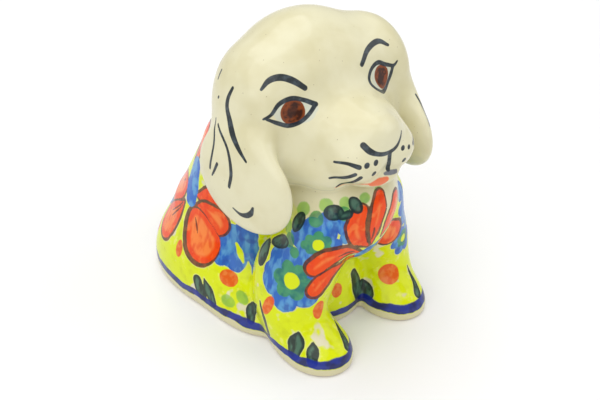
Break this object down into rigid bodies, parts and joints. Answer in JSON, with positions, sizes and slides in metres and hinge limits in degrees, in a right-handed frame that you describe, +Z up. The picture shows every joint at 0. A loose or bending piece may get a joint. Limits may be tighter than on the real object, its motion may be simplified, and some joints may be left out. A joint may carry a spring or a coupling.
{
  "type": "ceramic puppy figurine",
  "caption": "Sitting floppy-eared puppy in glazed stoneware, hand-painted with flowers, hollow, resting on a flat base.",
  "frame": {"origin": "on the surface it stands on, under the centre of the figurine's bounding box", "axes": "+Z up, the puppy faces -Y, its own right side is -X"},
  "size_m": [0.0869, 0.1283, 0.123],
  "materials": {
    "painted_glaze": "gloss",
    "cream_glaze": "gloss"
  },
  "bodies": {
    "root": {"body": "painted_glaze", "head": "cream_glaze", "right_ear": "cream_glaze", "left_ear": "cream_glaze", "right_foreleg": "painted_glaze", "left_foreleg": "painted_glaze", "right_hind_leg": "painted_glaze", "left_hind_leg": "painted_glaze", "tail": "painted_glaze"}
  },
  "joints": []
}
